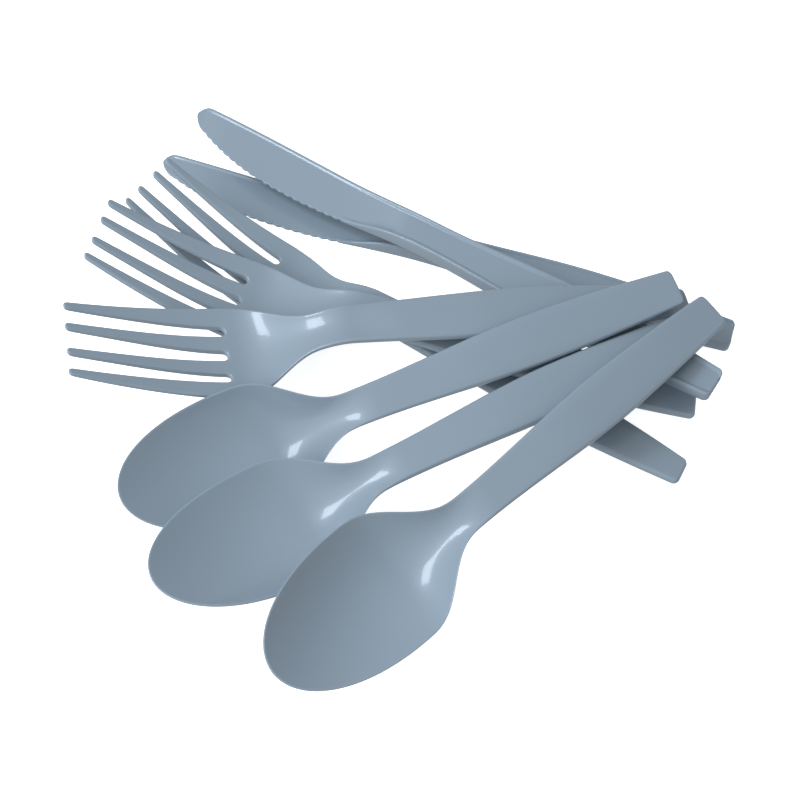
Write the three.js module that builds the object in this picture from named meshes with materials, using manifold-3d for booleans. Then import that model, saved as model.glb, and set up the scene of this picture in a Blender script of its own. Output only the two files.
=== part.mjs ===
// Plastic cutlery pack: three spoons, three forks and two knives lying in one loose fan.
// Millimetres, +Z up. Each item is one moulding, made along its own x from butt (0) to tip,
// hollow side up, and then laid in its place in the pile.
import * as THREE from "three";
import { ParametricGeometry } from "three/addons/geometries/ParametricGeometry.js";
import { mergeVertices } from "three/addons/utils/BufferGeometryUtils.js";
import Module from "manifold-3d";

// ---- Driving dimensions ----
const BUTT_CORNER = 1.5; // rounding of the two corners of a butt, seen from above
const GRIP_AT = 45; // where every handle is widest
const GRIP_BULGE = 1.7; // how suddenly a handle narrows to its butt

// A pair [from, over] is a stretch of x along which something changes with level ends.
const SPOON = {
  length: 161,
  buttHalf: 5.1,
  gripHalf: 7,
  neckHalf: 4.9,
  neckAt: 97,
  bowlHalf: 17.2,
  bowlAt: 126,
  bowlDepth: 8,
  bowlRoundness: 2.1,
  trough: [90.5, 29],
  arch: { butt: 2.2, top: 8.8, topAt: 90 },
  dip: 1.4,
  dipAlong: [92, 30],
  tipRise: 4.8,
  tipRiseAlong: [118, 44],
  bowlEdge: 1.3,
  bowlFloor: 0.3, // extra thickness in the middle of the bowl
  thinsAlong: [85, 25],
};
const FORK = {
  length: 170,
  buttHalf: 4.3,
  gripHalf: 7.8,
  neckHalf: 5.7,
  neckAt: 104,
  headHalf: 14.3,
  headAt: 128,
  shoulderPower: 0.9,
  sidePower: 1.2,
  tipHalf: 11,
  slotAt: 130,
  arch: { butt: 2.2, top: 4.2, topAt: 92 },
  drop: 10.6,
  dropAlong: [96, 30],
  tineRise: 13.7,
  tineRiseAlong: [118, 52],
  tineRisePower: 1.7,
  headEdge: 1.6,
  thinsAlong: [90, 30],
  neckHollow: 1.4,
  neckHollowAlong: [82, 16],
  headHollow: 0.6,
  headHollowAlong: [104, 16],
  flattensAlong: [128, 36],
  flattensBy: 0.8,
  belly: 0.5, // extra thickness in the middle of the head
  bellyAlong: [95, 20],
  bellyFadesAlong: [135, 30],
};
const CUTTER_HEIGHT = 60; // height of the body that cuts a slot
const CUTTER_PAST = 2; // how far it reaches past the tips
// Half width of the middle slot, then the inner and outer side of each side slot, at root and tip.
const SLOTS = { middle: [1.4, 2.7], inner: [6.1, 4.9], outer: [8.6, 9] };
const KNIFE = {
  length: 178,
  buttHalf: 4.9,
  gripHalf: 7,
  neckHalf: 5.2,
  neckAt: 90,
  spineHalf: 7.1,
  spineAlong: [90, 80],
  edgeHalf: 8.1,
  edgeAt: 134,
  edgeFall: 9.4,
  edgeFallPower: 2.4,
  tipAside: 3.7, // how far the tip lies towards the spine
  spineTip: 2.2,
  edgeTip: 4,
  rimHeight: 4.4,
  buttDrop: 1,
  buttDropOver: 26,
  bladeDrop: 2,
  bladeDropAlong: [92, 34],
  tipDrop: 0.6,
  tipDropFrom: 126,
  channel: 0.6, // depth of the channel in the handle
  channelEndsAlong: [99.5, 5.5],
  edgeRimFadesAlong: [102.5, 18],
  spineStep: 0.15, // drop from the spine rim to the blade's face
  bladeEdge: 0.7,
  bladeTip: 1.2,
  teethFrom: 117,
  teeth: 20,
  toothPitch: 2.8,
  toothDepth: 0.4,
};
const CROWN = 0.6; // rise of a spoon or fork handle along its middle
const CROWN_BELOW = 0.35; // share of it that shows on the underside
const CROWN_RISES = [0, 40];
const CROWN_FADES = [58, 28];
const HANDLE_EDGE = 2.2; // side height of a spoon or fork handle

const FINISH = { colour: 0x8799a9, roughness: 0.3, metalness: 0 };

// Where each item lies: its butt in mm, then its turn, pitch (tip up) and roll in degrees.
const PLACES = [
  ["knife_lower", "knife", [94, 39.8, 0], [168.3, 0, 0]],
  ["knife_upper", "knife", [86.3, 13.4, 9.5], [153.7, -1.1, -6.2]],
  ["fork_back", "fork", [79.2, -10, 0.3], [158.5, 4.6, 4.5]],
  ["fork_middle", "fork", [82.5, 11.7, 2], [175.2, 6.3, 0.7]],
  ["fork_front", "fork", [77.8, 38.7, 13.8], [197.6, 2.7, -4.7]],
  ["spoon_middle", "spoon", [77.6, 28.4, 14.4], [216.9, -4.2, -6.6]],
  ["spoon_back", "spoon", [73.3, 38.2, 20.8], [210, -7.8, -21.7]],
  ["spoon_front", "spoon", [84.2, 34.8, 17.3], [229.3, -4.6, -17.2]],
];

// ---- Shared formulas ----
const wasm = await Module();
wasm.setup();

function clamp01(t) {
  return Math.min(1, Math.max(0, t));
}

// 0 to 1 with level ends.
function ease(t) {
  const c = clamp01(t);
  return c * c * (3 - 2 * c);
}

// 0 to 1 with level ends and a steeper middle.
function easeSteep(t) {
  const c = clamp01(t);
  return c * c * c * (c * (6 * c - 15) + 10);
}

// 0 before a stretch of x, 1 after it.
function along(x, [from, over]) {
  return ease((x - from) / over);
}

function mix(a, b, t) {
  return a + (b - a) * t;
}

// How far a quarter-round corner of radius r cuts in, at distance d from the end.
function cornerCut(d, r) {
  const c = clamp01((r - d) / r);
  return r * (1 - Math.sqrt(1 - c * c));
}

// Half width of a handle: butt to grip on a bulging curve, then grip to neck.
function handleHalf(x, item) {
  const beforeGrip = clamp01((GRIP_AT - x) / GRIP_AT);
  const butt = item.gripHalf - (item.gripHalf - item.buttHalf) * beforeGrip ** GRIP_BULGE;
  const toNeck = ease((x - GRIP_AT) / (item.neckAt - GRIP_AT));
  const half = x < GRIP_AT ? butt : mix(item.gripHalf, item.neckHalf, toNeck);
  return half - cornerCut(x, BUTT_CORNER);
}

// A handle that rises from its butt in an arch.
function archHeight(x, arch) {
  return mix(arch.butt, arch.top, Math.sin((Math.PI / 2) * clamp01(x / arch.topAt)));
}

function crownHeight(x) {
  return CROWN * along(x, CROWN_RISES) * (1 - along(x, CROWN_FADES));
}

// Profile across an item at side position s, -1 to 1: a flat-topped crown and a parabolic hollow.
function acrossAt(s, crown, hollow) {
  return crown * (1 - s ** 4) - hollow * (1 - s * s);
}

function range(from, to, steps) {
  return Array.from({ length: steps }, (_, i) => mix(from, to, i / steps));
}

// Stations on the rounded corners of a butt.
function buttStations() {
  return range(0, Math.PI / 2, 3).map((a) => BUTT_CORNER * (1 - Math.cos(a)));
}

// Closed skin through one ring of [y, z] points at each station. The first ring is capped by its
// middle point; the last one is capped too, or already narrows to an upright line.
function skin(stations, ringAt, capTip) {
  const rings = stations.map((x) => ringAt(x).map(([y, z]) => [x, y, z]));
  const middle = (ring) =>
    [0, 1, 2].map((k) => ring.reduce((sum, p) => sum + p[k], 0) / ring.length);
  const collapsed = (ring) => ring.map(() => middle(ring));
  rings.unshift(collapsed(rings[0]));
  if (capTip) {
    rings.push(collapsed(rings[rings.length - 1]));
  }
  const around = rings[0].length;
  const rows = rings.length - 1;
  const place = (u, v, target) => {
    const point = rings[Math.round(v * rows)][(around - Math.round(u * around)) % around];
    target.set(...point);
  };
  return new ParametricGeometry(place, around, rows);
}

// Ring of an item that is the same on both sides: over the top from left to right, back below.
function evenRing(half, top, bottom, steps) {
  const sides = Array.from({ length: steps + 1 }, (_, i) => mix(-1, 1, i / steps));
  const over = sides.map((s) => [s * half, top(s)]);
  const under = sides.map((s) => [-s * half, bottom(-s)]);
  return [...over, ...under];
}

function solidOf(geometry) {
  const bare = geometry.clone();
  bare.deleteAttribute("normal");
  bare.deleteAttribute("uv");
  const merged = mergeVertices(bare, 1e-3);
  return new wasm.Manifold(
    new wasm.Mesh({
      numProp: 3,
      vertProperties: merged.attributes.position.array,
      triVerts: new Uint32Array(merged.index.array),
    }),
  );
}

function geometryOf(solid) {
  const mesh = solid.getMesh();
  const geometry = new THREE.BufferGeometry();
  geometry.setAttribute("position", new THREE.BufferAttribute(mesh.vertProperties, 3));
  geometry.setIndex(new THREE.BufferAttribute(mesh.triVerts, 1));
  return geometry;
}

// ---- Spoon ----
function spoonHalf(x) {
  if (x < SPOON.neckAt) {
    return handleHalf(x, SPOON);
  }
  if (x < SPOON.bowlAt) {
    const t = (x - SPOON.neckAt) / (SPOON.bowlAt - SPOON.neckAt);
    return mix(SPOON.neckHalf, SPOON.bowlHalf, easeSteep(t));
  }
  const t = clamp01((x - SPOON.bowlAt) / (SPOON.length - SPOON.bowlAt));
  return SPOON.bowlHalf * Math.sqrt(1 - t ** SPOON.bowlRoundness);
}

// Height of the rim: arched handle, small dip at the neck, then a rise to the tip.
function spoonRim(x) {
  const [from, over] = SPOON.tipRiseAlong;
  const rise = SPOON.tipRise * Math.max(0, (x - from) / over) ** 2;
  return archHeight(x, SPOON.arch) - SPOON.dip * along(x, SPOON.dipAlong) + rise;
}

// A trough that starts in the neck and deepens to the middle of the bowl, then rises to the tip.
function bowlDepth(x) {
  const toTip = clamp01((x - SPOON.bowlAt) / (SPOON.length - SPOON.bowlAt));
  const share = x > SPOON.bowlAt ? 1 - toTip * toTip : along(x, SPOON.trough);
  return SPOON.bowlDepth * share;
}

function spoonRing(x) {
  const rim = spoonRim(x);
  const crown = crownHeight(x);
  const thinned = along(x, SPOON.thinsAlong);
  const underside = rim - mix(HANDLE_EDGE, SPOON.bowlEdge, thinned);
  const depth = bowlDepth(x);
  const top = (s) => rim + acrossAt(s, crown, depth);
  const bottom = (s) =>
    underside + acrossAt(s, CROWN_BELOW * crown, depth + SPOON.bowlFloor * thinned);
  return evenRing(spoonHalf(x), top, bottom, 8);
}

function spoon() {
  const bowlLength = SPOON.length - SPOON.bowlAt;
  const stations = [
    ...buttStations(),
    ...range(BUTT_CORNER, SPOON.trough[0], 9),
    ...range(SPOON.trough[0], SPOON.bowlAt, 12),
    ...range(0, Math.PI / 2, 10).map((a) => SPOON.bowlAt + bowlLength * Math.sin(a)),
    SPOON.length,
  ];
  return skin(stations, spoonRing, false);
}

// ---- Fork ----
function forkHalf(x) {
  if (x < FORK.neckAt) {
    return handleHalf(x, FORK);
  }
  if (x < FORK.headAt) {
    const t = (x - FORK.neckAt) / (FORK.headAt - FORK.neckAt);
    return mix(FORK.neckHalf, FORK.headHalf, easeSteep(t) ** FORK.shoulderPower);
  }
  const t = clamp01((x - FORK.headAt) / (FORK.length - FORK.headAt));
  const tineTip = (FORK.tipHalf - SLOTS.outer[1]) / 2;
  return mix(FORK.headHalf, FORK.tipHalf, t ** FORK.sidePower) - cornerCut(FORK.length - x, tineTip);
}

// Height of the rim: arched handle, a drop into the head, then tines that rise to their tips.
function forkRim(x) {
  const [from, over] = FORK.tineRiseAlong;
  const rise = FORK.tineRise * Math.max(0, (x - from) / over) ** FORK.tineRisePower;
  return archHeight(x, FORK.arch) - FORK.drop * along(x, FORK.dropAlong) + rise;
}

function forkRing(x) {
  const rim = forkRim(x);
  const crown = crownHeight(x);
  const neck = FORK.neckHollow * along(x, FORK.neckHollowAlong);
  const head = FORK.headHollow * along(x, FORK.headHollowAlong);
  const hollow = (neck + head) * (1 - FORK.flattensBy * along(x, FORK.flattensAlong));
  const belly = FORK.belly * along(x, FORK.bellyAlong) * (1 - along(x, FORK.bellyFadesAlong));
  const underside = rim - mix(HANDLE_EDGE, FORK.headEdge, along(x, FORK.thinsAlong));
  const top = (s) => rim + acrossAt(s, crown, hollow);
  const bottom = (s) => underside + acrossAt(s, CROWN_BELOW * crown, hollow + belly);
  return evenRing(forkHalf(x), top, bottom, 6);
}

// One slot between two tines, seen from above: round root, sides that part towards the tips, and
// an outward quarter round that shapes the ends of the tines on both sides.
function slotShape(rootSides, tipSides, tineTips) {
  const rootRadius = (rootSides[1] - rootSides[0]) / 2;
  const rootMiddle = (rootSides[0] + rootSides[1]) / 2;
  const [low, high] = tipSides;
  const [lowTip, highTip] = tineTips;
  const end = FORK.length;
  const shape = new THREE.Shape();
  shape.absarc(FORK.slotAt, rootMiddle, rootRadius, Math.PI / 2, (3 * Math.PI) / 2, false);
  shape.absarc(end - lowTip, low - lowTip, lowTip, Math.PI / 2, 0, true);
  shape.lineTo(end + CUTTER_PAST, low - lowTip);
  shape.lineTo(end + CUTTER_PAST, high + highTip);
  shape.absarc(end - highTip, high + highTip, highTip, 0, -Math.PI / 2, true);
  shape.closePath();
  return shape;
}

function slotSolid(shape) {
  const options = { depth: CUTTER_HEIGHT, bevelEnabled: false, curveSegments: 6 };
  const cutter = new THREE.ExtrudeGeometry(shape, options);
  cutter.translate(0, 0, -CUTTER_HEIGHT / 2);
  return solidOf(cutter);
}

function fork() {
  const roundsAt = FORK.length - (FORK.tipHalf - SLOTS.outer[1]) / 2;
  const stations = [
    ...buttStations(),
    ...range(BUTT_CORNER, FORK.thinsAlong[0], 8),
    ...range(FORK.thinsAlong[0], FORK.headAt, 13),
    ...range(FORK.headAt, roundsAt, 9),
    ...range(roundsAt, FORK.length, 3),
    FORK.length,
  ];
  const { middle, inner, outer } = SLOTS;
  const innerTip = (inner[1] - middle[1]) / 2;
  const outerTip = (FORK.tipHalf - outer[1]) / 2;
  const middleSlot = slotShape([-middle[0], middle[0]], [-middle[1], middle[1]], [innerTip, innerTip]);
  const leftSlot = slotShape([inner[0], outer[0]], [inner[1], outer[1]], [innerTip, outerTip]);
  const rightSlot = slotShape([-outer[0], -inner[0]], [-outer[1], -inner[1]], [outerTip, innerTip]);
  const blank = solidOf(skin(stations, forkRing, true));
  const cut = [middleSlot, leftSlot, rightSlot].reduce((s, shape) => s.subtract(slotSolid(shape)), blank);
  return geometryOf(cut);
}

// ---- Knife ----
// How the blunt tip closes: 1 where its rounding starts, 0 at the end.
function tipCloses(x, over) {
  return Math.sqrt(1 - clamp01((x - KNIFE.length + over) / over) ** 2);
}

function spineHalf(x) {
  const blade = mix(KNIFE.neckHalf, KNIFE.spineHalf, along(x, KNIFE.spineAlong));
  const half = x < KNIFE.neckAt ? handleHalf(x, KNIFE) : blade;
  return mix(KNIFE.tipAside, half, tipCloses(x, KNIFE.spineTip));
}

// Half width on the cutting side, without its teeth.
function edgeHalf(x) {
  if (x < KNIFE.neckAt) {
    return handleHalf(x, KNIFE);
  }
  if (x < KNIFE.edgeAt) {
    const t = (x - KNIFE.neckAt) / (KNIFE.edgeAt - KNIFE.neckAt);
    return mix(KNIFE.neckHalf, KNIFE.edgeHalf, ease(t));
  }
  const t = clamp01((x - KNIFE.edgeAt) / (KNIFE.length - KNIFE.edgeAt));
  const half = KNIFE.edgeHalf - KNIFE.edgeFall * t ** KNIFE.edgeFallPower;
  return mix(-KNIFE.tipAside, half, tipCloses(x, KNIFE.edgeTip));
}

// Depth of the notches between the teeth.
function toothCut(x) {
  const teeth = (x - KNIFE.teethFrom) / KNIFE.toothPitch;
  const toothed = teeth > 0 && teeth < KNIFE.teeth;
  return toothed ? KNIFE.toothDepth * Math.sin(Math.PI * teeth) ** 2 : 0;
}

function knifeRim(x) {
  const butt = KNIFE.buttDrop * ease(1 - x / KNIFE.buttDropOver);
  const blade = KNIFE.bladeDrop * along(x, KNIFE.bladeDropAlong);
  const tip = KNIFE.tipDrop * clamp01((x - KNIFE.tipDropFrom) / (KNIFE.length - KNIFE.tipDropFrom));
  return KNIFE.rimHeight - butt - blade - tip;
}

// Flat underside; above it two narrow rims with a channel between, which ends at a small step.
// Past the step only the spine keeps its rim and the blade thins towards its cutting edge.
function knifeRing(x) {
  const rim = knifeRim(x);
  const face = (s) => mix(rim - KNIFE.spineStep, KNIFE.bladeEdge, s);
  const web = (s) => mix(rim - KNIFE.channel, face(s), along(x, KNIFE.channelEndsAlong));
  const edgeRim = (s) => mix(rim, face(s), along(x, KNIFE.edgeRimFadesAlong));
  const heights = [
    [0, () => rim],
    [0.06, () => rim],
    [0.13, web],
    [0.87, web],
    [0.94, edgeRim],
    [1, edgeRim],
  ];
  const spine = spineHalf(x);
  const edge = edgeHalf(x);
  const tip = ease((x - KNIFE.length + KNIFE.edgeTip) / KNIFE.edgeTip);
  const cut = toothCut(x);
  const over = heights.map(([s, height]) => [
    mix(-spine, edge, s) - (s === 1 ? cut : 0),
    mix(height(s), KNIFE.bladeTip, tip),
  ]);
  return [...over, [edge - cut, 0], [-spine, 0]];
}

function knife() {
  const toothed = KNIFE.teethFrom + KNIFE.teeth * KNIFE.toothPitch;
  const [stepFrom, stepOver] = KNIFE.channelEndsAlong;
  const stations = [
    ...buttStations(),
    ...range(BUTT_CORNER, KNIFE.neckAt, 8),
    ...range(KNIFE.neckAt, stepFrom, 3),
    ...range(stepFrom, stepFrom + stepOver, 3),
    ...range(stepFrom + stepOver, KNIFE.teethFrom, 4),
    ...range(KNIFE.teethFrom, toothed, 2 * KNIFE.teeth),
    ...range(0, Math.PI / 2, 7).map((a) => toothed + (KNIFE.length - toothed) * Math.sin(a)),
    KNIFE.length,
  ];
  return skin(stations, knifeRing, false);
}

// ---- The pack ----
function item(name, geometry, [x, y, z], angles) {
  const [turn, pitch, roll] = angles.map(THREE.MathUtils.degToRad);
  const plastic = new THREE.MeshStandardMaterial({
    color: FINISH.colour,
    roughness: FINISH.roughness,
    metalness: FINISH.metalness,
  });
  const mesh = new THREE.Mesh(geometry, plastic);
  mesh.name = name;
  mesh.position.set(x, y, z);
  mesh.rotation.set(roll, -pitch, turn, "ZYX");
  return mesh;
}

const shapes = { spoon: spoon(), fork: fork(), knife: knife() };
Object.values(shapes).forEach((geometry) => geometry.computeVertexNormals());
const pile = new THREE.Group();
pile.add(...PLACES.map(([name, kind, place, angles]) => item(name, shapes[kind], place, angles)));

// The pack's origin is the middle of its footprint, on the table.
const middle = new THREE.Box3().setFromObject(pile, true).getCenter(new THREE.Vector3());
pile.position.set(-middle.x, -middle.y, 0);
const pack = new THREE.Group();
pack.name = "plastic_cutlery_pack";
pack.add(pile);

export default pack;
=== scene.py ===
"""Plastic cutlery pack: three spoons, three forks and two knives in one loose fan.

Each item is one glossy moulding. Its surface is worked out in millimetres along its own x axis,
from butt (0) to tip, hollow side up, and is then laid where its CAD node lies, in metres.
"""

import logging
import math
from dataclasses import dataclass, field
from enum import Enum
from typing import Any, NamedTuple, Sequence

import bpy
import numpy as np
from mathutils import Matrix, Vector
from mathutils.bvhtree import BVHTree
from numpy.typing import NDArray

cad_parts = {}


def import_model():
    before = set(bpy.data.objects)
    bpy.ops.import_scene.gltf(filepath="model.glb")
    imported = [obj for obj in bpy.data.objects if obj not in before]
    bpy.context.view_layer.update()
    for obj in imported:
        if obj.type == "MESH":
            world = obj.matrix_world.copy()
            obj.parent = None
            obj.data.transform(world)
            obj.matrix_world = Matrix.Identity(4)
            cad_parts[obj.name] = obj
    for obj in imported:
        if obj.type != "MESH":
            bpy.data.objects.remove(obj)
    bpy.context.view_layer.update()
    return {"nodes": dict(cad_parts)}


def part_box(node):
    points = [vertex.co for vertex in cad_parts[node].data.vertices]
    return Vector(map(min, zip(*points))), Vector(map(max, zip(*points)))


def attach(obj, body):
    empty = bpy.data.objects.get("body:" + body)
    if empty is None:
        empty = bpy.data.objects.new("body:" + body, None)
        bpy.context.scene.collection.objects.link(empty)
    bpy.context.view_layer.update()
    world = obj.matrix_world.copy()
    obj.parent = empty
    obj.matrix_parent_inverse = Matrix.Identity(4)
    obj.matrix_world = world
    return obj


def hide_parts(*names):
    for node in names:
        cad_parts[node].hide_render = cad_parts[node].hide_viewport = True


Array = NDArray[np.float64]
MM = 0.001
BUTT_CORNER = 1.5  # rounding of the two corners of a butt, seen from above
GRIP_AT = 45.0  # where every handle is widest
GRIP_BULGE = 1.7  # how suddenly a handle narrows to its butt
HANDLE_EDGE = 2.2  # side height of a spoon or fork handle
HANDLE_ROUNDING = 0.85  # radius along the edges of a spoon or fork handle
BOX_TOLERANCE = 0.2  # how far an item's box may miss its CAD node's box before it is settled
NEARBY = 0.3  # first limit on the distance from a vertex to the surface that it should lie on
SETTLE_ROUNDS = 6
LOG = logging.getLogger("cutlery")


# ---- Formulas shared by the items ----


def ease(t: Array | float) -> Array:
    """0 to 1 with level ends: 3t^2 - 2t^3 on t held between 0 and 1."""
    c = np.clip(t, 0.0, 1.0)
    return c * c * (3.0 - 2.0 * c)


def ease_steep(t: Array | float) -> Array:
    """0 to 1 with level ends and a steeper middle: 6t^5 - 15t^4 + 10t^3."""
    c = np.clip(t, 0.0, 1.0)
    return c**3 * (c * (6.0 * c - 15.0) + 10.0)


def mix(a: Array | float, b: Array | float, t: Array | float) -> Array:
    """The value t of the way from a to b."""
    return a + (b - a) * t


def round_over(distance: Array, radius: Array | float) -> Array:
    """How far a quarter-round edge drops at a distance from the edge.

    The drop is r - sqrt(r^2 - (r - d)^2) inside the radius and nothing further in.

    Args:
        distance: distance from the edge, in mm.
        radius: radius of the rounding, in mm.

    Returns:
        The drop, in mm.
    """
    into = np.clip(radius - distance, 0.0, radius)
    return radius - np.sqrt(np.maximum(radius**2 - into**2, 0.0))


class Stretch(NamedTuple):
    """A stretch of x, in mm, along which something changes with level ends."""

    start: float
    over: float

    def along(self, x: Array) -> Array:
        """0 before the stretch, 1 after it."""
        return ease((x - self.start) / self.over)

    def past(self, x: Array) -> Array:
        """0 before the stretch, then an even rise that reaches 1 at its end."""
        return np.maximum(0.0, (x - self.start) / self.over)


CROWN = 0.6  # rise of a spoon or fork handle along its middle
CROWN_BELOW = 0.35  # share of it that shows on the underside
CROWN_RISES = Stretch(0.0, 40.0)
CROWN_FADES = Stretch(58.0, 28.0)


@dataclass(frozen=True)
class Arch:
    """Height of a handle that rises along a quarter sine from its butt to its highest point."""

    butt: float
    top: float
    top_at: float

    def height(self, x: Array) -> Array:
        """Height at each x, level past the highest point."""
        return mix(self.butt, self.top, np.sin(0.5 * math.pi * np.clip(x / self.top_at, 0.0, 1.0)))


def crowded_ends(count: int) -> Array:
    """Values from -1 to 1 on a sine, close together at both ends."""
    return np.sin(0.5 * math.pi * np.linspace(-1.0, 1.0, count))


def stations(*spans: tuple[float, float, int]) -> Array:
    """Joins evenly spaced spans (from, to, steps) into one rising list of x values."""
    parts = [np.linspace(a, b, n, endpoint=False) for a, b, n in spans]
    return np.concatenate([*parts, [spans[-1][1]]])


def quarter_out(start: float, length: float, steps: int) -> Array:
    """x values that crowd towards start + length, on a sine."""
    return start + length * np.sin(np.linspace(0.0, 0.5 * math.pi, steps + 1))[:-1]


def quarter_in(start: float, length: float, steps: int) -> Array:
    """x values that crowd at start, on one minus a cosine."""
    return start + length * (1.0 - np.cos(np.linspace(0.0, 0.5 * math.pi, steps + 1)))[:-1]


def crown_height(x: Array) -> Array:
    """Rise of a spoon or fork handle along its middle: none at the butt and none at the neck."""
    return CROWN * CROWN_RISES.along(x) * (1.0 - CROWN_FADES.along(x))


def across_at(side: Array, crown: Array, hollow: Array) -> Array:
    """Profile across an item: a flat-topped crown 1 - s^4 less a parabolic hollow 1 - s^2."""
    return crown * (1.0 - side**4) - hollow * (1.0 - side**2)


# ---- From surfaces to meshes ----


@dataclass
class Plate:
    """A closed body given by an upper and a lower surface over one grid of plan positions.

    Attributes:
        x: plan positions along the item, rows by columns, in mm.
        y: plan positions across the item.
        top: height of the upper surface.
        bottom: height of the lower surface.
        gaps: columns of cells that are left out, which opens a slot between two columns.
    """

    x: Array
    y: Array
    top: Array
    bottom: Array
    gaps: Sequence[int] = ()

    def faces(self, ids: NDArray[np.int64]) -> NDArray[np.int64]:
        """Quads of the upper surface over the cells that are there, facing up."""
        quads = np.stack([ids[:-1, :-1], ids[1:, :-1], ids[1:, 1:], ids[:-1, 1:]], axis=-1)
        return np.delete(quads, list(self.gaps), axis=1).reshape(-1, 4)

    def solid(self) -> tuple[Array, NDArray[np.int64]]:
        """Closes the two surfaces with upright walls.

        Grid points at the same plan position are one vertex, so a column that narrows to a point
        closes there, and two columns that meet have no slot between them. A wall stands on each
        edge of the upper surface that only one of its faces uses.

        Returns:
            The vertices in mm, and quads in which a repeated corner stands for a triangle.
        """
        plan = np.stack([self.x, self.y], axis=-1).reshape(-1, 2)
        _, first, ids = np.unique(np.round(plan, 5), axis=0, return_index=True, return_inverse=True)
        count = len(first)
        quads = self.faces(ids.reshape(self.x.shape))
        starts, ends = quads.ravel(), np.roll(quads, -1, axis=1).ravel()
        real = starts != ends
        starts, ends = starts[real], ends[real]
        lone = ~np.isin(starts * count + ends, ends * count + starts)
        a, b = starts[lone], ends[lone]
        walls = np.stack([b, a, a + count, b + count], axis=1)
        upper = np.column_stack([plan[first], self.top.ravel()[first]])
        lower = np.column_stack([plan[first], self.bottom.ravel()[first]])
        return np.vstack([upper, lower]), np.vstack([quads, quads[:, ::-1] + count, walls])


def to_mesh(name: str, points: Array, quads: NDArray[np.int64]) -> bpy.types.Mesh:
    """Makes a smooth-shaded Blender mesh from vertices and quads.

    Args:
        name: name of the mesh.
        points: vertices in metres.
        quads: rows of four corners; a row with a repeated corner becomes a triangle, and one with
            fewer than three different corners is left out.

    Returns:
        The mesh.
    """
    same = quads == np.roll(quads, -1, axis=1)
    kept = quads[same.sum(axis=1) < 2]
    same = kept == np.roll(kept, -1, axis=1)
    sizes = 4 - same.sum(axis=1)
    corners = kept[~same]
    mesh = bpy.data.meshes.new(name)
    mesh.vertices.add(len(points))
    mesh.vertices.foreach_set("co", points.astype(np.float32).ravel())
    mesh.loops.add(len(corners))
    mesh.loops.foreach_set("vertex_index", corners.astype(np.int32))
    mesh.polygons.add(len(kept))
    starts = np.concatenate([[0], np.cumsum(sizes)[:-1]])
    mesh.polygons.foreach_set("loop_start", starts.astype(np.int32))
    mesh.polygons.foreach_set("use_smooth", np.ones(len(kept), dtype=bool))
    mesh.update(calc_edges=True)
    mesh.validate()
    return mesh


# ---- The three kinds of item ----


@dataclass(frozen=True)
class Handle:
    """Outline of a handle seen from above, in mm."""

    butt_half: float
    grip_half: float
    neck_half: float
    neck_at: float

    def half(self, x: Array) -> Array:
        """Half width: a bulging curve from butt to grip, then an eased one from grip to neck."""
        before = np.clip((GRIP_AT - x) / GRIP_AT, 0.0, 1.0)
        butt = self.grip_half - (self.grip_half - self.butt_half) * before**GRIP_BULGE
        after = mix(self.grip_half, self.neck_half, ease((x - GRIP_AT) / (self.neck_at - GRIP_AT)))
        return np.where(x < GRIP_AT, butt, after) - round_over(x, BUTT_CORNER)


def edge_distance(x: Array, y: Array, half: Array) -> Array:
    """Distance to an outline |y| = half(x), to first order.

    It is (h^2 - y^2) / (2 sqrt((h h')^2 + y^2)), which also holds where the outline closes.

    Args:
        x: plan positions along the item, the same in each row.
        y: plan positions across it.
        half: half width at each position.

    Returns:
        The distance in mm, 0 on the outline.
    """
    slope = np.gradient(half[:, 0], x[:, 0])[:, None]
    length = np.sqrt((half * slope) ** 2 + y**2)
    return np.maximum(half**2 - y**2, 0.0) / np.maximum(2.0 * length, 1e-9)


def soften(plate: Plate, distance: Array, radius: Array) -> Plate:
    """Rounds both edges of a plate all round its outline, the butt included.

    Args:
        plate: the plate with sharp edges.
        distance: distance of each point from the sides, in mm.
        radius: radius of the rounding at each point.

    Returns:
        A plate whose surfaces bend to meet its walls.
    """
    side = np.clip(radius - distance, 0.0, radius)
    end = np.clip(radius - plate.x, 0.0, radius)
    drop = round_over(radius - np.minimum(np.hypot(side, end), radius), radius)
    return Plate(plate.x, plate.y, plate.top - drop, plate.bottom + drop, plate.gaps)


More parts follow.
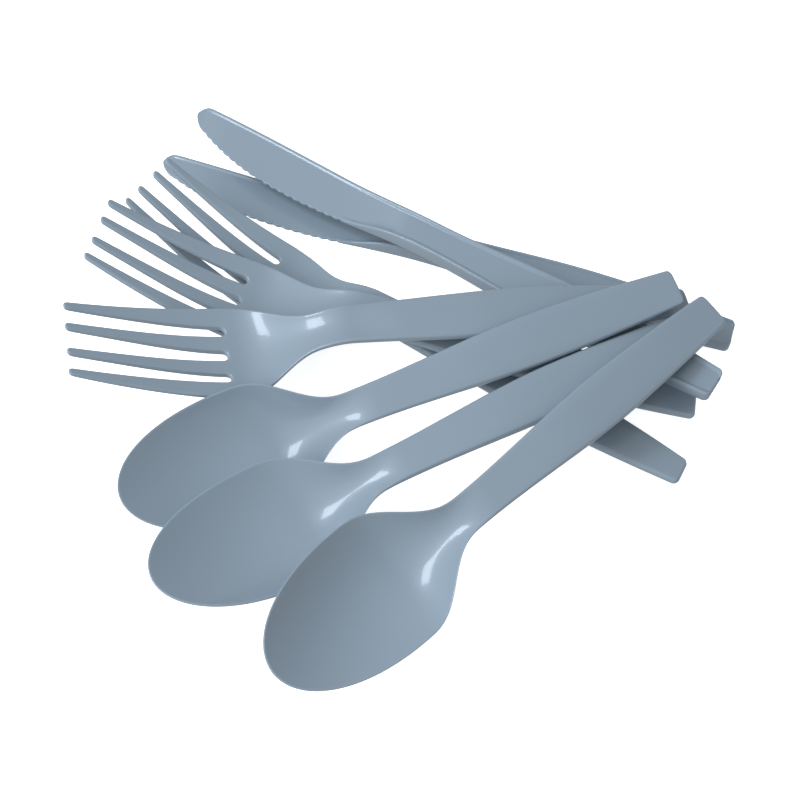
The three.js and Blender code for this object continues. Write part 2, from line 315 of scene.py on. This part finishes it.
@dataclass(frozen=True)
class Spoon:
    """A spoon: a crowned handle that opens into an oval bowl."""

    length: float = 161.0
    handle: Handle = Handle(5.1, 7.0, 4.9, 97.0)
    bowl_half: float = 17.2
    bowl_at: float = 126.0
    trough: Stretch = Stretch(90.5, 29.0)
    bowl_depth: float = 8.0
    roundness: float = 2.1
    arch: Arch = Arch(2.2, 8.8, 90.0)
    dip: float = 1.4
    dips: Stretch = Stretch(92.0, 30.0)
    tip_rise: float = 4.8
    tip_rises: Stretch = Stretch(118.0, 44.0)
    bowl_edge: float = 1.3
    bowl_floor: float = 0.3
    bowl_rounding: float = 0.5
    thins: Stretch = Stretch(85.0, 25.0)
    columns: int = 57
    finer_from: float = 88.0

    def half(self, x: Array) -> Array:
        """Half width: handle, a steep shoulder, then a rounded oval to the tip."""
        shoulder = ease_steep((x - self.handle.neck_at) / (self.bowl_at - self.handle.neck_at))
        t = np.clip((x - self.bowl_at) / (self.length - self.bowl_at), 0.0, 1.0)
        oval = self.bowl_half * np.sqrt(1.0 - t**self.roundness)
        before = mix(self.handle.neck_half, self.bowl_half, shoulder)
        return np.where(x < self.handle.neck_at, self.handle.half(x), np.minimum(before, oval))

    def rim(self, x: Array) -> Array:
        """Height of the edge: arched handle, a small dip at the neck, a rise to the tip."""
        dip = self.dip * self.dips.along(x)
        return self.arch.height(x) - dip + self.tip_rise * self.tip_rises.past(x) ** 2

    def depth(self, x: Array) -> Array:
        """Depth along the middle: a trough that deepens from the neck, a parabola to the tip."""
        to_tip = np.clip((x - self.bowl_at) / (self.length - self.bowl_at), 0.0, 1.0)
        return self.bowl_depth * np.where(x > self.bowl_at, 1.0 - to_tip**2, self.trough.along(x))

    def plate(self, rounded: bool) -> Plate:
        """The spoon as two surfaces, crowned on the handle and sunk in the trough and bowl."""
        row = np.concatenate(
            [
                quarter_in(0.0, BUTT_CORNER, 12),
                stations((BUTT_CORNER, self.finer_from, 60), (self.finer_from, self.bowl_at, 56))[:-1],
                quarter_out(self.bowl_at, self.length - self.bowl_at, 64),
                [self.length],
            ]
        )
        x = np.repeat(row[:, None], self.columns, axis=1)
        half = np.repeat(self.half(row)[:, None], self.columns, axis=1)
        side = crowded_ends(self.columns)[None, :]
        rim, depth, crown = self.rim(x), self.depth(x), crown_height(x)
        into_bowl = self.thins.along(x)
        edge = mix(HANDLE_EDGE, self.bowl_edge, into_bowl)
        top = rim + across_at(side, crown, depth)
        floor = depth + self.bowl_floor * into_bowl
        bottom = rim - edge + across_at(side, CROWN_BELOW * crown, floor)
        sharp = Plate(x, half * side, top, bottom)
        radius = mix(HANDLE_ROUNDING, self.bowl_rounding, into_bowl)
        return soften(sharp, edge_distance(x, sharp.y, half), radius) if rounded else sharp


@dataclass(frozen=True)
class Slot:
    """A slot between two tines: middle line and half width at its root and at the tips, in mm."""

    root_middle: float
    root_half: float
    tip_middle: float
    tip_half: float

    def middle(self, t: Array) -> Array:
        """Middle line, straight from root to tip as t goes from 0 to 1."""
        return mix(self.root_middle, self.tip_middle, t)

    def half(self, t: Array) -> Array:
        """Half width of the straight-sided part."""
        return mix(self.root_half, self.tip_half, t)


@dataclass(frozen=True)
class Fork:
    """A four-tined fork: a crowned handle that dips into a hollow head."""

    length: float = 170.0
    handle: Handle = Handle(4.3, 7.8, 5.7, 104.0)
    head_half: float = 14.3
    head_at: float = 128.0
    tip_half: float = 11.0
    slot_at: float = 130.0
    slots: tuple[Slot, ...] = (
        Slot(-7.35, 1.25, -6.95, 2.05),
        Slot(0.0, 1.4, 0.0, 2.7),
        Slot(7.35, 1.25, 6.95, 2.05),
    )
    shoulder_power: float = 0.9
    side_power: float = 1.2
    arch: Arch = Arch(2.2, 4.2, 92.0)
    drop: float = 10.6
    drops: Stretch = Stretch(96.0, 30.0)
    tine_rise: float = 13.7
    tines_rise: Stretch = Stretch(118.0, 52.0)
    tine_rise_power: float = 1.7
    neck_hollow: float = 1.4
    neck_hollows: Stretch = Stretch(82.0, 16.0)
    head_hollow: float = 0.6
    head_hollows: Stretch = Stretch(104.0, 16.0)
    flattens_by: float = 0.8
    flattens: Stretch = Stretch(128.0, 36.0)
    belly: float = 0.5
    belly_grows: Stretch = Stretch(95.0, 20.0)
    belly_fades: Stretch = Stretch(135.0, 30.0)
    head_edge: float = 1.6
    thins: Stretch = Stretch(90.0, 30.0)
    head_rounding: float = 0.6
    sharpens: Stretch = Stretch(95.0, 25.0)
    tine_columns: int = 15
    finer_from: float = 88.0
    finest_before_root: float = 1.2
    tip_stations_over: float = 1.1

    def half(self, x: Array) -> Array:
        """Half width: handle, a steep shoulder, then sides that close in towards the tips."""
        shoulder = ease_steep((x - self.handle.neck_at) / (self.head_at - self.handle.neck_at))
        t = np.clip((x - self.head_at) / (self.length - self.head_at), 0.0, 1.0)
        head = mix(self.handle.neck_half, self.head_half, shoulder**self.shoulder_power)
        tines = mix(self.head_half, self.tip_half, t**self.side_power)
        head = np.where(x > self.head_at, tines, head)
        return np.where(x < self.handle.neck_at, self.handle.half(x), head)

    def rim(self, x: Array) -> Array:
        """Height of the edge: arched handle, a drop into the head, tines that rise."""
        drop = self.drop * self.drops.along(x)
        rise = self.tine_rise * self.tines_rise.past(x) ** self.tine_rise_power
        return self.arch.height(x) - drop + rise

    def rows(self) -> Array:
        """Stations along the fork, close together at the butt, the slot roots and the tips."""
        root = self.slot_at - self.slots[1].root_half
        fine, finest = self.finer_from, root - self.finest_before_root
        tips = self.length - self.tip_stations_over
        return np.concatenate(
            [
                quarter_in(0.0, BUTT_CORNER, 12),
                stations((BUTT_CORNER, fine, 56), (fine, finest, 62), (finest, root, 10))[:-1],
                quarter_in(root, self.slots[1].root_half, 12),
                stations((self.slot_at, tips, 44))[:-1],
                quarter_out(tips, self.tip_stations_over, 12),
                [self.length],
            ]
        )

    def slot_edges(self, row: Array, half: Array) -> list[tuple[Array, Array]]:
        """Low and high side of each slot along the rows.

        Past its root a slot has straight sides; over the root it is a half circle; before the
        root it is closed, and its line narrows in proportion to the head.
        """
        t = np.clip((row - self.slot_at) / (self.length - self.slot_at), 0.0, 1.0)
        root = self.slot_at - self.slots[1].root_half
        narrowing = half / self.half(np.array([root]))[0]
        into = np.clip((self.slot_at - row) / self.slots[1].root_half, 0.0, 1.0)
        edges = []
        for slot in self.slots:
            middle = slot.middle(t) * np.where(row < root, narrowing, 1.0)
            opening = slot.half(t) * np.sqrt(1.0 - into**2)
            edges.append((middle - opening, middle + opening))
        return edges

    def slot_distance(self, x: Array, y: Array) -> Array:
        """Distance to the nearest slot: to its round root before it, to its sides beyond."""
        t = np.clip((x - self.slot_at) / (self.length - self.slot_at), 0.0, 1.0)
        nearest = np.full(x.shape, np.inf)
        for slot in self.slots:
            scale = slot.root_half / self.slots[1].root_half
            along = np.maximum(self.slot_at - x, 0.0) * scale
            away = np.hypot(along, y - slot.middle(t)) - slot.half(t)
            nearest = np.minimum(nearest, away)
        return np.maximum(nearest, 0.0)

    def plate(self, rounded: bool) -> Plate:
        """The fork as two surfaces over four strips of columns, one for each tine."""
        row = self.rows()
        half = self.half(row)
        sides = [-half]
        for low, high in self.slot_edges(row, half):
            sides += [low, high]
        sides.append(half)
        side = crowded_ends(self.tine_columns)[None, :]
        strips, ends = [], []
        for low, high in zip(sides[::2], sides[1::2]):
            middle, reach = 0.5 * (low + high)[:, None], 0.5 * (high - low)[:, None]
            radius = reach[-1, 0]
            past = np.clip((row[:, None] - self.length + radius) / radius, 0.0, 1.0)
            strips.append(middle + reach * np.sqrt(1.0 - past**2) * side)
            into = np.hypot(past * radius, reach * np.sqrt(1.0 - past**2) * side)
            ends.append(np.where(past > 0.0, radius - into, np.inf))
        y, end = np.hstack(strips), np.hstack(ends)
        x = np.repeat(row[:, None], y.shape[1], axis=1)
        wide = np.repeat(half[:, None], y.shape[1], axis=1)
        shares = y / wide
        crown = crown_height(x)
        neck = self.neck_hollow * self.neck_hollows.along(x)
        head = self.head_hollow * self.head_hollows.along(x)
        hollow = (neck + head) * (1.0 - self.flattens_by * self.flattens.along(x))
        belly = self.belly * self.belly_grows.along(x) * (1.0 - self.belly_fades.along(x))
        edge = mix(HANDLE_EDGE, self.head_edge, self.thins.along(x))
        rim = self.rim(x)
        top = rim + across_at(shares, crown, hollow)
        bottom = rim - edge + across_at(shares, CROWN_BELOW * crown, hollow + belly)
        gaps = [self.tine_columns * k - 1 for k in (1, 2, 3)]
        sharp = Plate(x, y, top, bottom, gaps)
        if not rounded:
            return sharp
        distance = np.minimum(edge_distance(x, y, wide), self.slot_distance(x, y))
        distance = np.maximum(np.minimum(distance, end), 0.0)
        return soften(sharp, distance, mix(HANDLE_ROUNDING, self.head_rounding, self.sharpens.along(x)))


@dataclass(frozen=True)
class Knife:
    """A knife: flat below, a rimmed channel on the handle and a fine-toothed blade."""

    length: float = 178.0
    handle: Handle = Handle(4.9, 7.0, 5.2, 90.0)
    spine_half: float = 7.1
    edge_half: float = 8.1
    edge_at: float = 134.0
    edge_fall: float = 9.4
    edge_fall_power: float = 2.4
    spine_widens_over: float = 80.0
    tip_aside: float = 3.7
    spine_tip: float = 2.2
    edge_tip: float = 4.0
    channel_end: float = 99.5
    rim_height: float = 4.4
    rim_width: float = 0.8
    rim_slope: float = 0.9
    butt_drop_over: float = 26.0
    blade_drop: float = 2.0
    blade_drops: Stretch = Stretch(92.0, 34.0)
    tip_drop: float = 0.6
    tip_drops: Stretch = Stretch(126.0, 52.0)
    channel: float = 0.6
    channel_closes_over: float = 5.5
    edge_rim_fades: Stretch = Stretch(102.5, 18.0)
    spine_step: float = 0.15
    blade_edge: float = 0.7
    blade_tip: float = 1.2
    teeth_from: float = 117.0
    teeth: int = 20
    tooth_pitch: float = 2.8
    tooth_depth: float = 0.4
    tooth_reach_power: int = 12
    rounding: float = 0.6
    cutting_rounding: float = 0.2
    sharpens_over: float = 20.0
    rounding_of_height: float = 0.45
    lower_rounding: float = 0.35
    columns: int = 81
    columns_even: float = 0.25

    def tip_closes(self, x: Array, over: float) -> Array:
        """How the blunt tip closes: 1 where its rounding starts, then a quarter round to 0."""
        past = np.clip((x - self.length + over) / over, 0.0, 1.0)
        return np.sqrt(1.0 - past**2)

    def widening(self, x: Array) -> Array:
        """0 at the neck, 1 where the spine side is widest."""
        return ease((x - self.handle.neck_at) / self.spine_widens_over)

    def spine(self, x: Array) -> Array:
        """Half width on the spine side, which widens slowly along the blade."""
        blade = mix(self.handle.neck_half, self.spine_half, self.widening(x))
        side = np.where(x < self.handle.neck_at, self.handle.half(x), blade)
        return mix(self.tip_aside, side, self.tip_closes(x, self.spine_tip))

    def edge(self, x: Array) -> Array:
        """Half width on the cutting side without its teeth: a belly, then a fall to the tip."""
        belly = ease((x - self.handle.neck_at) / (self.edge_at - self.handle.neck_at))
        before = mix(self.handle.neck_half, self.edge_half, belly)
        t = np.clip((x - self.edge_at) / (self.length - self.edge_at), 0.0, 1.0)
        after = self.edge_half - self.edge_fall * t**self.edge_fall_power
        side = np.where(x < self.handle.neck_at, self.handle.half(x), before)
        side = np.where(x > self.edge_at, after, side)
        return mix(-self.tip_aside, side, self.tip_closes(x, self.edge_tip))

    def tooth_cut(self, x: Array) -> Array:
        """Depth of the notches between the teeth: depth (1 - |cos|), which is sharp inside."""
        teeth = (x - self.teeth_from) / self.tooth_pitch
        inside = (teeth > 0.0) & (teeth < self.teeth)
        return np.where(inside, self.tooth_depth * (1.0 - np.abs(np.cos(math.pi * teeth))), 0.0)

    def rim(self, x: Array) -> Array:
        """Height of the spine rim: low at the butt, full on the handle, lower on the blade."""
        butt = ease((self.butt_drop_over - x) / self.butt_drop_over)
        blade = self.blade_drop * self.blade_drops.along(x)
        return self.rim_height - butt - blade - self.tip_drop * self.tip_drops.past(x)

    def rows(self) -> Array:
        """Stations along the knife, close together at the butt, the step and the teeth."""
        step = self.channel_end
        toothed = self.teeth_from + self.teeth * self.tooth_pitch
        return np.concatenate(
            [
                quarter_in(0.0, BUTT_CORNER, 12),
                stations((BUTT_CORNER, 90.0, 56), (90.0, step - 1.0, 12), (step - 1.0, step + 7.0, 24))[:-1],
                stations((step + 7.0, self.teeth_from, 12), (self.teeth_from, toothed, 12 * self.teeth))[:-1],
                quarter_out(toothed, self.length - toothed, 36),
                [self.length],
            ]
        )

    def plate(self, rounded: bool) -> Plate:
        """The knife as two surfaces: flat below; above, rims with a channel that ends in a step,
        after which the face thins evenly towards the cutting edge."""
        row = self.rows()
        x = np.repeat(row[:, None], self.columns, axis=1)
        spine, edge = self.spine(row)[:, None], self.edge(row)[:, None]
        even = np.linspace(-1.0, 1.0, self.columns)
        across = 0.5 + 0.5 * mix(crowded_ends(self.columns), even, self.columns_even)[None, :]
        y = mix(-spine, edge, across)
        rim = self.rim(x)
        on_blade = ease((x - self.channel_end) / self.channel_closes_over)
        face = mix(rim - self.spine_step, self.blade_edge, across)
        web = mix(rim - self.channel, face, on_blade)
        edge_rim = mix(rim, face, self.edge_rim_fades.along(x))
        low = ease((y + spine - self.rim_width) / self.rim_slope)
        high = 1.0 - ease((edge - y - self.rim_width) / self.rim_slope)
        top = mix(mix(rim, web, low), edge_rim, high)
        top = mix(top, self.blade_tip, ease((x - self.length + self.edge_tip) / self.edge_tip))
        toothed = y - self.tooth_cut(row)[:, None] * across**self.tooth_reach_power
        sharp = Plate(x, toothed, top, np.zeros_like(top))
        if not rounded:
            return sharp
        reach = np.repeat(0.5 * (spine + edge), self.columns, axis=1)
        distance = edge_distance(x, y - 0.5 * (edge - spine), reach)
        on_edge = ease((x - self.channel_end) / self.sharpens_over)
        edge_side = mix(self.rounding, self.cutting_rounding, on_edge)
        radius = np.where(across < 0.5, self.rounding, edge_side)
        return self.sharpen(sharp, distance, np.minimum(radius, self.rounding_of_height * top))

    def sharpen(self, sharp: Plate, distance: Array, radius: Array) -> Plate:
        """Rounds the upper edges fully and the lower ones less."""
        above = soften(sharp, distance, radius)
        below = soften(sharp, distance, np.minimum(radius, self.lower_rounding))
        return Plate(sharp.x, sharp.y, above.top, below.bottom)


# ---- The pile ----


class Kind(Enum):
    """The kinds of item in the pack."""

    SPOON = Spoon()
    FORK = Fork()
    KNIFE = Knife()


ITEMS: dict[str, Kind] = {
    "knife_lower": Kind.KNIFE,
    "knife_upper": Kind.KNIFE,
    "fork_back": Kind.FORK,
    "fork_middle": Kind.FORK,
    "fork_front": Kind.FORK,
    "spoon_middle": Kind.SPOON,
    "spoon_back": Kind.SPOON,
    "spoon_front": Kind.SPOON,
}


@dataclass(frozen=True)
class Bulk:
    """What fixes how a rigid body lies.

    Attributes:
        centre: centre of its volume, in mm.
        axes: principal axes of its volume, as columns that form a right-handed set.
    """

    centre: Array
    axes: Array

    @classmethod
    def of(cls, points: Array, triangles: NDArray[np.int64]) -> "Bulk":
        """Sums the tetrahedra that the triangles of a closed body span with one inner point.

        The sums don't depend on how the surface is divided into triangles.
        """
        inner = points.mean(axis=0)
        corners = points[triangles] - inner
        volume = np.linalg.det(corners) / 6.0
        total = corners.sum(axis=1)
        centre = volume @ total / (4.0 * volume.sum())
        spread = np.einsum("n,ni,nj->ij", volume, total, total)
        spread += np.einsum("n,nki,nkj->ij", volume, corners, corners)
        axes = np.linalg.eigh(spread / (20.0 * volume.sum()) - np.outer(centre, centre))[1]
        return cls(centre + inner, axes * np.array([1.0, 1.0, np.linalg.det(axes)]))


def halved(quads: NDArray[np.int64]) -> NDArray[np.int64]:
    """Each quad as two triangles, without those that have a repeated corner."""
    triangles = np.vstack([quads[:, [0, 1, 2]], quads[:, [0, 2, 3]]])
    return triangles[(triangles != np.roll(triangles, 1, axis=1)).all(axis=1)]


def node_surface(node: bpy.types.Object) -> tuple[Array, NDArray[np.int64]]:
    """Vertices in mm and triangles of a CAD node, in the row frame."""
    mesh = node.data
    mesh.calc_loop_triangles()
    points = np.empty(3 * len(mesh.vertices), dtype=np.float32)
    mesh.vertices.foreach_get("co", points)
    triangles = np.empty(3 * len(mesh.loop_triangles), dtype=np.int32)
    mesh.loop_triangles.foreach_get("vertices", triangles)
    turn = np.array(node.matrix_world)
    placed = points.reshape(-1, 3).astype(np.float64) @ turn[:3, :3].T + turn[:3, 3]
    return placed / MM, triangles.reshape(-1, 3).astype(np.int64)


@dataclass(frozen=True)
class Place:
    """Where an item lies: a turn, then a shift in mm."""

    turn: Array
    shift: Array

    def lay(self, points: Array) -> Array:
        """Points of the item, moved to where it lies."""
        return points @ self.turn.T + self.shift

    def settled(self, tree: BVHTree, there: Array) -> "Place":
        """Shifts and turns the item a little, until its surface passes through a node's vertices.

        Each round finds the point of the item's surface that is nearest to each vertex. It then
        solves for the small turn and shift that bring the vertices into the planes there. The
        limit on their distance halves each time, so vertices that the two shapes don't share,
        such as those of coarse facets in a hollow, drop out.

        Args:
            tree: the item's surface, in its own mm.
            there: the node's vertices, in mm.
        """
        place = self
        for limit in NEARBY * 0.5 ** np.arange(SETTLE_ROUNDS):
            own = (there - place.shift) @ place.turn
            hits = [tree.find_nearest(Vector(point)) for point in own]
            close = np.array([hit[3] for hit in hits]) < limit
            near = np.array([hit[0] for hit in hits])
            normal = np.array([hit[1] for hit in hits])
            gap = ((near - own) * normal).sum(axis=1)
            rows = np.hstack([np.cross(own, normal), normal])
            move = np.linalg.lstsq(rows[close], gap[close], rcond=None)[0]
            small = Matrix.Rotation(float(np.linalg.norm(move[:3])), 3, Vector(move[:3]))
            turn = place.turn @ np.array(small).T
            place = Place(turn, place.shift - turn @ move[3:])
        return place

    @classmethod
    def of(cls, name: str, node: bpy.types.Object, sharp: Plate) -> "Place":
        """Finds how a sharp-edged item has to lie to fill its CAD node.

        Equal bodies have equal principal axes, up to a half turn about one of them. Of the four
        turns this leaves, the one whose box is nearest to the node's is right. The node has
        coarser facets, so the item is then settled onto the node's vertices.

        Raises:
            ValueError: if no turn brings the item's box to the node's.
        """
        points, quads = sharp.solid()
        triangles = halved(quads)
        vertices, facets = node_surface(node)
        own, there = Bulk.of(points, triangles), Bulk.of(vertices, facets)
        goal = np.array(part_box(name)) / MM
        fits = []
        for signs in ((1, 1, 1), (1, -1, -1), (-1, 1, -1), (-1, -1, 1)):
            turn = there.axes @ np.diag(signs) @ own.axes.T
            place = cls(turn, there.centre - turn @ own.centre)
            laid = place.lay(points)
            fits.append((float(np.abs([laid.min(axis=0), laid.max(axis=0)] - goal).max()), place))
        miss, nearest = min(fits, key=lambda fit: fit[0])
        if miss > BOX_TOLERANCE:
            raise ValueError(f"{name} misses its CAD node by {miss:.2f} mm")
        tree = BVHTree.FromPolygons(points.tolist(), triangles.tolist(), all_triangles=True)
        return nearest.settled(tree, vertices)


# ---- Materials ----


class Value:
    """A number socket with arithmetic: each operation adds a Math node."""

    def __init__(self, nodes: "Nodes", socket: bpy.types.NodeSocket) -> None:
        """Wraps an output socket of a node tree."""
        self.nodes = nodes
        self.socket = socket

    def _math(self, operation: str, *values: "Value | float") -> "Value":
        """Adds a Math node over the given values."""
        inputs = {i: v for i, v in enumerate(values)}
        return self.nodes.value("ShaderNodeMath", {"operation": operation}, inputs)

    def __add__(self, other: "Value | float") -> "Value":
        """self + other."""
        return self._math("ADD", self, other)

    def __radd__(self, other: float) -> "Value":
        """other + self."""
        return self._math("ADD", other, self)

    def __sub__(self, other: "Value | float") -> "Value":
        """self - other."""
        return self._math("SUBTRACT", self, other)

    def __rsub__(self, other: float) -> "Value":
        """other - self."""
        return self._math("SUBTRACT", other, self)

    def __mul__(self, other: "Value | float") -> "Value":
        """self * other."""
        return self._math("MULTIPLY", self, other)

    def __rmul__(self, other: float) -> "Value":
        """other * self."""
        return self._math("MULTIPLY", other, self)

    def power(self, exponent: float) -> "Value":
        """self to a power."""
        return self._math("POWER", self, exponent)

    def clamped(self) -> "Value":
        """self held between 0 and 1."""
        return self._math("MINIMUM", self._math("MAXIMUM", self, 0.0), 1.0)


class Nodes:
    """Adds nodes to one material."""

    def __init__(self, name: str) -> None:
        """Starts a material with an empty node tree."""
        self.material = bpy.data.materials.new(name)
        self.material.use_nodes = True
        self.tree = self.material.node_tree
        self.tree.nodes.clear()

    def add(self, kind: str, settings: dict[str, Any], inputs: dict[Any, Any]) -> bpy.types.Node:
        """Adds one node.

        Args:
            kind: Blender's type name of the node.
            settings: attributes of the node, set before its sockets.
            inputs: socket names or numbers with a value, a socket or a Value for each.

        Returns:
            The node.
        """
        node = self.tree.nodes.new(kind)
        for name, setting in settings.items():
            setattr(node, name, setting)
        for key, source in inputs.items():
            source = source.socket if isinstance(source, Value) else source
            if isinstance(source, bpy.types.NodeSocket):
                self.tree.links.new(source, node.inputs[key])
            else:
                node.inputs[key].default_value = source
        return node

    def value(self, kind: str, settings: dict[str, Any], inputs: dict[Any, Any], out: Any = 0) -> Value:
        """Adds one node and wraps one of its outputs as a number."""
        return Value(self, self.add(kind, settings, inputs).outputs[out])

    def noise(self, where: bpy.types.NodeSocket, scale: float, detail: float = 2.0) -> Value:
        """Noise between 0 and 1 on a position."""
        inputs = {"Vector": where, "Scale": scale, "Detail": detail}
        return self.value("ShaderNodeTexNoise", {}, inputs, "Fac")

    def blend(self, amount: Value, first: tuple, second: tuple) -> bpy.types.NodeSocket:
        """Mixes two colours by an amount."""
        inputs = {0: amount, 6: (*first, 1.0), 7: (*second, 1.0)}
        return self.add("ShaderNodeMix", {"data_type": "RGBA"}, inputs).outputs[2]


@dataclass(frozen=True)
class MouldedPlastic:
    """Glossy moulded plastic: a faint cloudiness in its colour and a slightly uneven polish."""

    name: str = "moulded_plastic"
    deep: tuple[float, float, float] = (0.190, 0.246, 0.297)
    pale: tuple[float, float, float] = (0.225, 0.282, 0.332)
    roughness: float = 0.36
    coat: float = 0.55
    coat_roughness: float = 0.09
    cloud_scale: float = 38.0
    flow_scale: float = 11.0
    grain_scale: float = 2600.0
    handled_scale: float = 95.0
    bump: float = 0.35
    bump_distance: float = 0.0006

    def build(self) -> bpy.types.Material:
        """The material, on Object coordinates in metres."""
        nodes = Nodes(self.name)
        where = nodes.add("ShaderNodeTexCoord", {}, {}).outputs["Object"]
        cloud = nodes.noise(where, self.cloud_scale, 3.0)
        flow = nodes.noise(where, self.flow_scale, 1.0)
        grain = nodes.noise(where, self.grain_scale, 2.0)
        handled = nodes.noise(where, self.handled_scale, 4.0)
        colour = nodes.blend((0.6 * cloud + 0.4 * flow).clamped(), self.deep, self.pale)
        polish = self.roughness + 0.10 * (handled - 0.5) + 0.05 * (grain - 0.5)
        skin = flow * 0.6 + handled * 0.05 + grain * 0.004
        bump_inputs = {"Strength": self.bump, "Distance": self.bump_distance, "Height": skin}
        bump = nodes.add("ShaderNodeBump", {}, bump_inputs)
        shader = nodes.add(
            "ShaderNodeBsdfPrincipled",
            {},
            {
                "Base Color": colour,
                "Roughness": polish,
                "Normal": bump.outputs["Normal"],
                "IOR": 1.5,
                "Coat Weight": self.coat,
                "Coat Roughness": self.coat_roughness,
                "Coat IOR": 1.5,
            },
        )
        nodes.add("ShaderNodeOutputMaterial", {}, {"Surface": shader.outputs["BSDF"]})
        return nodes.material


@dataclass(frozen=True)
class PaleFloor:
    """A plain, bright, matt floor."""

    name: str = "pale_floor"
    colour: tuple[float, float, float] = (0.93, 0.93, 0.93)
    glow: float = 0.75

    def build(self) -> bpy.types.Material:
        """The material: matt white that also gives off a little light, to soften shadows."""
        nodes = Nodes(self.name)
        shader = nodes.add(
            "ShaderNodeBsdfPrincipled",
            {},
            {
                "Base Color": (*self.colour, 1.0),
                "Roughness": 0.9,
                "Emission Color": (1.0, 1.0, 1.0, 1.0),
                "Emission Strength": self.glow,
            },
        )
        nodes.add("ShaderNodeOutputMaterial", {}, {"Surface": shader.outputs["BSDF"]})
        return nodes.material


# ---- Assembly ----


@dataclass
class Pack:
    """The whole pack, laid over the CAD nodes it stands for."""

    nodes: dict[str, bpy.types.Object]
    finish: MouldedPlastic = field(default_factory=MouldedPlastic)

    def build(self) -> list[bpy.types.Object]:
        """Makes and dresses each item, attaches it to the root body and hides its CAD node."""
        material = self.finish.build()
        sharp = {kind: kind.value.plate(rounded=False) for kind in Kind}
        solids = {kind: kind.value.plate(rounded=True).solid() for kind in Kind}
        pieces = []
        for node, kind in ITEMS.items():
            points, quads = solids[kind]
            place = Place.of(node, self.nodes[node], sharp[kind])
            mesh = to_mesh(node + "_shape", place.lay(points) * MM, quads)
            mesh.materials.append(material)
            piece = bpy.data.objects.new(node + "_piece", mesh)
            bpy.context.scene.collection.objects.link(piece)
            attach(piece, "root")
            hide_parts(node)
            LOG.info("%s: %d vertices, %d faces", piece.name, len(mesh.vertices), len(mesh.polygons))
            pieces.append(piece)
        return pieces


@dataclass(frozen=True)
class Studio:
    """Camera, window light, soft fill and floor."""

    aim: tuple[float, float, float] = (-0.0023, -0.0004, 0.0)
    distance: float = 0.391
    elevation: float = 53.74
    tilt: float = 7.73
    lens: float = 64.29
    floor_reach: float = 30.0

    def camera(self) -> None:
        """A camera that looks along +Y and down at the pile, turned a little about its view."""
        data = bpy.data.cameras.new("camera")
        data.sensor_width = 36.0
        data.lens = self.lens
        data.clip_start = 0.01
        camera = bpy.data.objects.new("camera", data)
        down = math.radians(self.elevation)
        forward = Vector((0.0, math.cos(down), -math.sin(down)))
        upright = Vector((0.0, math.sin(down), math.cos(down)))
        turn = Matrix.Rotation(math.radians(-self.tilt), 3, forward)
        up = turn @ upright
        right = forward.cross(up)
        camera.matrix_world = Matrix.Translation(Vector(self.aim) - forward * self.distance) @ Matrix(
            (
                (right.x, up.x, -forward.x, 0.0),
                (right.y, up.y, -forward.y, 0.0),
                (right.z, up.z, -forward.z, 0.0),
                (0.0, 0.0, 0.0, 1.0),
            )
        )
        bpy.context.scene.collection.objects.link(camera)
        bpy.context.scene.camera = camera

    def area(
        self,
        name: str,
        at: Sequence[float],
        size: Sequence[float],
        power: float,
        tint: Sequence[float],
    ) -> bpy.types.Object:
        """A rectangular light that faces the pile.

        Args:
            name: name of the light.
            at: its middle, in metres.
            size: width and height, in metres.
            power: power in watts.
            tint: colour.

        Returns:
            The light.
        """
        data = bpy.data.lights.new(name, "AREA")
        data.shape = "RECTANGLE"
        data.size, data.size_y = size
        data.energy = power
        data.color = tint
        light = bpy.data.objects.new(name, data)
        light.location = at
        light.rotation_euler = (Vector(self.aim) - Vector(at)).to_track_quat("-Z", "Y").to_euler()
        bpy.context.scene.collection.objects.link(light)
        return light

    def lights(self) -> None:
        """A bluish window on the left, a soft fill in front of it and a pale sky."""
        self.area("window", at=(-0.52, -0.06, 0.75), size=(0.32, 0.24), power=3.0, tint=(0.78, 0.88, 1.0))
        fill = self.area(
            "fill", at=(-0.40, -0.36, 0.36), size=(0.50, 0.50), power=3.6, tint=(0.98, 0.99, 1.0)
        )
        fill.visible_glossy = False
        world = bpy.data.worlds.new("soft_sky")
        world.use_nodes = True
        sky = world.node_tree.nodes["Background"]
        sky.inputs["Color"].default_value = (0.93, 0.96, 1.0, 1.0)
        sky.inputs["Strength"].default_value = 0.60
        bpy.context.scene.world = world

    def floor(self) -> None:
        """A pale floor under the pile."""
        reach = self.floor_reach
        corners = [(-reach, -reach, 0.0), (reach, -reach, 0.0), (reach, reach, 0.0), (-reach, reach, 0.0)]
        mesh = bpy.data.meshes.new("floor")
        mesh.from_pydata(corners, [], [(0, 1, 2, 3)])
        mesh.materials.append(PaleFloor().build())
        floor = bpy.data.objects.new("floor", mesh)
        bpy.context.scene.collection.objects.link(floor)
        floor.visible_diffuse = False
        floor.visible_glossy = False

    def build(self) -> None:
        """Sets up everything that isn't part of the object."""
        self.camera()
        self.lights()
        self.floor()
        bpy.context.scene.view_settings.view_transform = "Standard"


def main() -> None:
    """Loads the frame, then builds the pack and the studio."""
    logging.basicConfig(level=logging.INFO, format="%(message)s")
    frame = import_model()
    pieces = Pack(frame["nodes"]).build()
    Studio().build()
    LOG.info("%d pieces", len(pieces))


if __name__ == "__main__":
    main()
